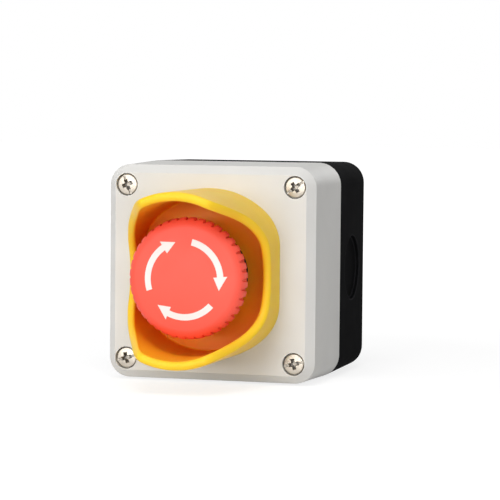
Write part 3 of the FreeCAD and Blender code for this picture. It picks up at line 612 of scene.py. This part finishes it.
def lathe(profile):
    """A closed turned solid about the y axis, from points of radius and y that begin and end on the axis."""
    mesh = bmesh.new()
    turns = [2 * math.pi * k / SCREW_SIDES for k in range(SCREW_SIDES)]
    rings = []
    for radius, y in profile:
        places = turns if radius > 0 else turns[:1]
        rings.append([mesh.verts.new((radius * math.cos(turn), y, radius * math.sin(turn)))
                      for turn in places])
    for first, second in zip(rings, rings[1:]):
        for k in range(SCREW_SIDES):
            corners = [first[k % len(first)], first[(k + 1) % len(first)],
                       second[(k + 1) % len(second)], second[k % len(second)]]
            mesh.faces.new(list(dict.fromkeys(corners)))
    bmesh.ops.recalc_face_normals(mesh, faces=mesh.faces)
    return mesh


def wedge(length, width, depth, top, taper):
    """A block cut down into a screw head from its top, narrower at its floor."""
    mesh = bmesh.new()
    bmesh.ops.create_cube(mesh, size=1)
    for vert in mesh.verts:
        at_floor = vert.co.y > 0
        y = top + depth if at_floor else top - depth
        narrow = taper if at_floor else 1.0
        vert.co = Vector((vert.co.x * length * narrow, y, vert.co.z * width * narrow))
    return mesh


def screw_mesh(top, seat, end):
    """One screw: a low domed head with a slot and a cross recess, and its plain shank."""
    edge = SCREW_HEAD_RADIUS - SCREW_EDGE
    shoulder = top + SCREW_CROWN + SCREW_EDGE
    shares = [k / SCREW_CURVE_STEPS for k in range(1, SCREW_CURVE_STEPS + 1)]
    profile = [(0, top)]
    profile += [(edge * share, top + SCREW_CROWN * share ** 2) for share in shares]
    for share in shares:
        turn = math.pi / 2 * share
        profile.append((edge + SCREW_EDGE * math.sin(turn), shoulder - SCREW_EDGE * math.cos(turn)))
    profile += [(SCREW_HEAD_RADIUS, seat), (SCREW_SHANK_RADIUS, seat), (SCREW_SHANK_RADIUS, end), (0, end)]
    screw = new_object("screw", lathe(profile))
    cuts = [
        wedge(SLOT_LENGTH, SLOT_WIDTH, SLOT_DEPTH, top, SLOT_TAPER),
        wedge(CROSS_LENGTH, CROSS_WIDTH, CROSS_DEPTH, top, CROSS_TAPER),
        wedge(CROSS_WIDTH, CROSS_LENGTH, CROSS_DEPTH, top, CROSS_TAPER),
    ]
    cutters = [new_object("cut", cut) for cut in cuts]
    for cutter in cutters:
        modifier = screw.modifiers.new("cut", "BOOLEAN")
        modifier.operation = "DIFFERENCE"
        modifier.solver = "EXACT"
        modifier.object = cutter
    shape = bpy.data.meshes.new_from_object(screw.evaluated_get(bpy.context.evaluated_depsgraph_get()))
    for item in [screw, *cutters]:
        bpy.data.objects.remove(item)
    return shape


def make_screws():
    """Four plated screws, each left at its own angle."""
    low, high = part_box("cover_screws")
    reach_x = high.x - SCREW_HEAD_RADIUS
    reach_z = high.z - SCREW_HEAD_RADIUS
    shape = screw_mesh(low.y, low.y + SCREW_HEAD_HEIGHT, high.y)
    mesh = bmesh.new()
    for (side, level), angle in SLOT_ANGLES.items():
        before = len(mesh.verts)
        mesh.from_mesh(shape)
        mesh.verts.ensure_lookup_table()
        turn = Matrix.Rotation(-math.radians(angle), 4, "Y")
        place = Matrix.Translation((side * reach_x, 0, level * reach_z))
        bmesh.ops.transform(mesh, matrix=place @ turn, verts=mesh.verts[before:])
    piece = new_piece("cover_screw_set", mesh, "screw_steel", "enclosure")
    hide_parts("cover_screws")


# Springs behind the button, each with the body and the joint that it moves with
SPRINGS = {
    "return_spring": ("stem", "press"),
    "nc_spring": ("nc_actuator", "nc_push"),
    "no_spring": ("no_actuator", "no_push"),
}


def make_springs():
    """Three coil springs, each riding on the body that it moves with."""
    for node, (body, joint) in SPRINGS.items():
        mesh = bmesh.new()
        mesh.from_mesh(nodes[node].data)
        bmesh.ops.remove_doubles(mesh, verts=mesh.verts, dist=WELD)
        coil = new_piece(node + "_coil", mesh, "spring_steel", body)
        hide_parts(node)
        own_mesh(coil)


# Stage, in metres, degrees and watts
FLOOR_SIZE = 8.0
FLOOR_TONE = (0.85, 0.85, 0.85, 1)
FLOOR_ROUGHNESS = 0.9
SHADOW_TONE = (0.3, 0.3, 0.3, 1)
SHADOW_REACH = (0.10, 0.40)
SHADOW_LIFT = (0.8, 1.0)
AMBIENT = 0.20
LAMPS = {
    "key": {"azimuth": -24, "elevation": 20, "distance": 1.4, "width": 1.1, "height": 1.1, "power": 6.7},
    "low": {"azimuth": 8, "elevation": 3, "distance": 1.4, "width": 2.0, "height": 0.12, "power": 8.0},
    "top": {"azimuth": 12, "elevation": 60, "distance": 1.3, "width": 0.7, "height": 0.7, "power": 7.5},
    "back": {"azimuth": 172, "elevation": 14, "distance": 1.4, "width": 0.6, "height": 0.2, "power": 3.5},
}


def seen_directly(tree):
    """1 for what the camera sees, also through a reflection or glass, and 0 for light on surfaces."""
    path = add(tree, "ShaderNodeLightPath")
    seen = path.outputs["Is Camera Ray"]
    for other in ("Is Glossy Ray", "Is Transmission Ray"):
        seen = combined(tree, "MAXIMUM", seen, path.outputs[other])
    return seen


def make_floor():
    """A floor that looks white, with the box's shadow fading into it."""
    mesh = bmesh.new()
    bmesh.ops.create_grid(mesh, x_segments=1, y_segments=1, size=FLOOR_SIZE / 2)
    floor = new_object("floor", mesh)
    floor.location.z = cad_box[0].z
    material, tree, shader = new_material("floor")
    seen = seen_directly(tree)
    feed(tree, shader.inputs["Base Color"], blend_colours(tree, seen, FLOOR_TONE, SHADOW_TONE))
    shader.inputs["Roughness"].default_value = FLOOR_ROUGHNESS
    shader.inputs["Specular IOR Level"].default_value = 0.0
    shader.inputs["Emission Color"].default_value = WHITE
    reach = add(tree, "ShaderNodeVectorMath", {"operation": "LENGTH"}, Vector=object_place(tree))
    lift = spread(tree, reach.outputs["Value"], *SHADOW_LIFT, *SHADOW_REACH)
    feed(tree, shader.inputs["Emission Strength"], combined(tree, "MULTIPLY", seen, lift))
    floor.data.materials.append(material)


def make_world():
    """White where it is seen, and a plain ambient light on surfaces."""
    world = bpy.data.worlds.new("studio")
    scene.world = world
    world.use_nodes = True
    tree = world.node_tree
    tree.nodes.clear()
    soft = add(tree, "ShaderNodeBackground", Color=WHITE, Strength=AMBIENT)
    white = add(tree, "ShaderNodeBackground", Color=WHITE, Strength=1.0)
    mix = add(tree, "ShaderNodeMixShader")
    feed(tree, mix.inputs[0], seen_directly(tree))
    feed(tree, mix.inputs[1], soft.outputs[0])
    feed(tree, mix.inputs[2], white.outputs[0])
    output = add(tree, "ShaderNodeOutputWorld")
    tree.links.new(mix.outputs[0], output.inputs["Surface"])


def make_lamps():
    """A soft box at the front left, a low strip before the front, a box overhead, and a strip behind for
    the gloss of the upper edges."""
    for name, plan in LAMPS.items():
        data = bpy.data.lights.new(name, "AREA")
        data.shape = "RECTANGLE"
        data.size = plan["width"]
        data.size_y = plan["height"]
        data.energy = plan["power"]
        light = bpy.data.objects.new(name, data)
        towards = view_direction(math.radians(plan["azimuth"]), math.radians(plan["elevation"]))
        light.location = VIEW_TARGET + towards * plan["distance"]
        light.rotation_euler = towards.to_track_quat("Z", "Y").to_euler()
        scene.collection.objects.link(light)


scene.view_settings.view_transform = "Standard"
make_camera()
dress_nodes()
make_casing()
make_guard()
make_cap()
make_arrows()
make_screws()
make_springs()
make_floor()
make_world()
make_lamps()
